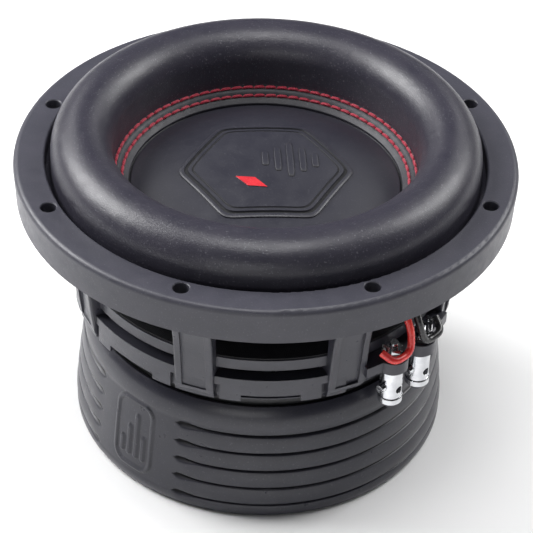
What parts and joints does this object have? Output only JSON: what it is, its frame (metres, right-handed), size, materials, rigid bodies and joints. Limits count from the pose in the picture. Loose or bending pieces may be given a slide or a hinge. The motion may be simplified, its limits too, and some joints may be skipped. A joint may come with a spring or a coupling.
{
  "type": "car subwoofer speaker",
  "caption": "High-roll car subwoofer driver with an open cast basket, stitched rubber surround, domed cap, ribbed motor boot, push terminals and a sprung moving cone.",
  "frame": {"origin": "centre of the boot's underside, on the driver's axis", "axes": "+Z along the driver's axis, from the motor towards the cone; the eight bolt holes lie at 22.5 degrees from +X and every 45 degrees on; the front terminals are near -47 degrees"},
  "size_m": [0.224, 0.224, 0.157],
  "materials": {
    "cast_basket": "satin powder coat with a fine cast texture",
    "gasket_rubber": "satin moulded rubber",
    "surround_rubber": "soft matt rubber with a fine speckle",
    "spider_cloth": "resin-dipped woven cloth",
    "cone_fibre": "pressed fibre",
    "red_enamel": "gloss red enamel",
    "cap_moulding": "matt moulded plastic",
    "red_thread": "twisted thread",
    "former_sheet": "black anodised sheet",
    "copper_winding": "enamelled copper wire",
    "adhesive": "cured black adhesive",
    "brass_eyelet": "polished brass",
    "black_steel": "black plated steel",
    "ferrite": "ground ferrite",
    "copper_sleeve": "bare copper",
    "screen_steel": "black punched steel",
    "boot_rubber": "satin moulded rubber",
    "black_screws": "black oxide steel",
    "terminal_chrome": "bright chrome plate",
    "button_steel": "dark turned steel",
    "bush_plastic": "moulded nylon",
    "tinned_tab": "tinned",
    "spring_steel": "drawn spring wire",
    "tinsel_braid": "braided tinned copper",
    "red_sleeve": "red silicone sleeve",
    "black_sleeve": "black silicone sleeve"
  },
  "bodies": {
    "frame": {"basket": "cast_basket", "trim_gasket": "gasket_rubber", "surround": "surround_rubber", "spider": "spider_cloth", "top_plate": "black_steel", "magnet_upper": "ferrite", "magnet_lower": "ferrite", "yoke": "black_steel", "shorting_sleeve": "copper_sleeve", "vent_screen": "screen_steel", "motor_boot": "boot_rubber", "basket_screws": "black_screws", "terminal_barrels_front": "terminal_chrome", "terminal_end_rings_front": "terminal_chrome", "terminal_bushes_front": "bush_plastic", "terminal_nuts_front": "terminal_chrome", "solder_tabs_front": "tinned_tab", "side_screws_front": "terminal_chrome", "terminal_barrels_rear": "terminal_chrome", "terminal_end_rings_rear": "terminal_chrome", "terminal_bushes_rear": "bush_plastic", "terminal_nuts_rear": "terminal_chrome", "solder_tabs_rear": "tinned_tab", "side_screws_rear": "terminal_chrome", "button_spring_front_left": "spring_steel", "button_spring_front_right": "spring_steel", "button_spring_rear_left": "spring_steel", "button_spring_rear_right": "spring_steel", "tinsel_lead_front_left": "tinsel_braid", "tinsel_lead_front_right": "tinsel_braid", "tinsel_lead_rear_left": "tinsel_braid", "tinsel_lead_rear_right": "tinsel_braid", "lead_sleeve_front_left": "red_sleeve", "lead_sleeve_front_right": "black_sleeve", "lead_sleeve_rear_left": "red_sleeve", "lead_sleeve_rear_right": "black_sleeve"},
    "diaphragm": {"cone": "cone_fibre", "dust_cap": "cap_moulding", "cap_badge": "cap_moulding", "badge_accent": "red_enamel", "stitch_row_outer": "red_thread", "stitch_row_inner": "red_thread", "coil_former": "former_sheet", "voice_coil_inner": "copper_winding", "voice_coil_outer": "copper_winding", "neck_adhesive": "adhesive", "lead_eyelets": "brass_eyelet"},
    "push_button_front_left": {"push_button_front_left": "button_steel"},
    "push_button_front_right": {"push_button_front_right": "button_steel"},
    "push_button_rear_left": {"push_button_rear_left": "button_steel"},
    "push_button_rear_right": {"push_button_rear_right": "button_steel"}
  },
  "joints": [
    {"name": "cone_stroke", "type": "slide", "parent": "frame", "child": "diaphragm", "axis": [0, 0, 1], "range_m": [-0.012, 0.012], "stiffness_N_per_m": 8000, "deforming": ["surround", "spider", "tinsel_lead_front_left", "tinsel_lead_front_right", "tinsel_lead_rear_left", "tinsel_lead_rear_right", "lead_sleeve_front_left", "lead_sleeve_front_right", "lead_sleeve_rear_left", "lead_sleeve_rear_right"]},
    {"name": "press_front_left", "type": "slide", "parent": "frame", "child": "push_button_front_left", "axis": [0, 0, 1], "range_m": [0, 0.0025], "stiffness_N_per_m": 900, "deforming": ["button_spring_front_left"]},
    {"name": "press_front_right", "type": "slide", "parent": "frame", "child": "push_button_front_right", "axis": [0, 0, 1], "range_m": [0, 0.0025], "stiffness_N_per_m": 900, "deforming": ["button_spring_front_right"]},
    {"name": "press_rear_left", "type": "slide", "parent": "frame", "child": "push_button_rear_left", "axis": [0, 0, 1], "range_m": [0, 0.0025], "stiffness_N_per_m": 900, "deforming": ["button_spring_rear_left"]},
    {"name": "press_rear_right", "type": "slide", "parent": "frame", "child": "push_button_rear_right", "axis": [0, 0, 1], "range_m": [0, 0.0025], "stiffness_N_per_m": 900, "deforming": ["button_spring_rear_right"]}
  ]
}
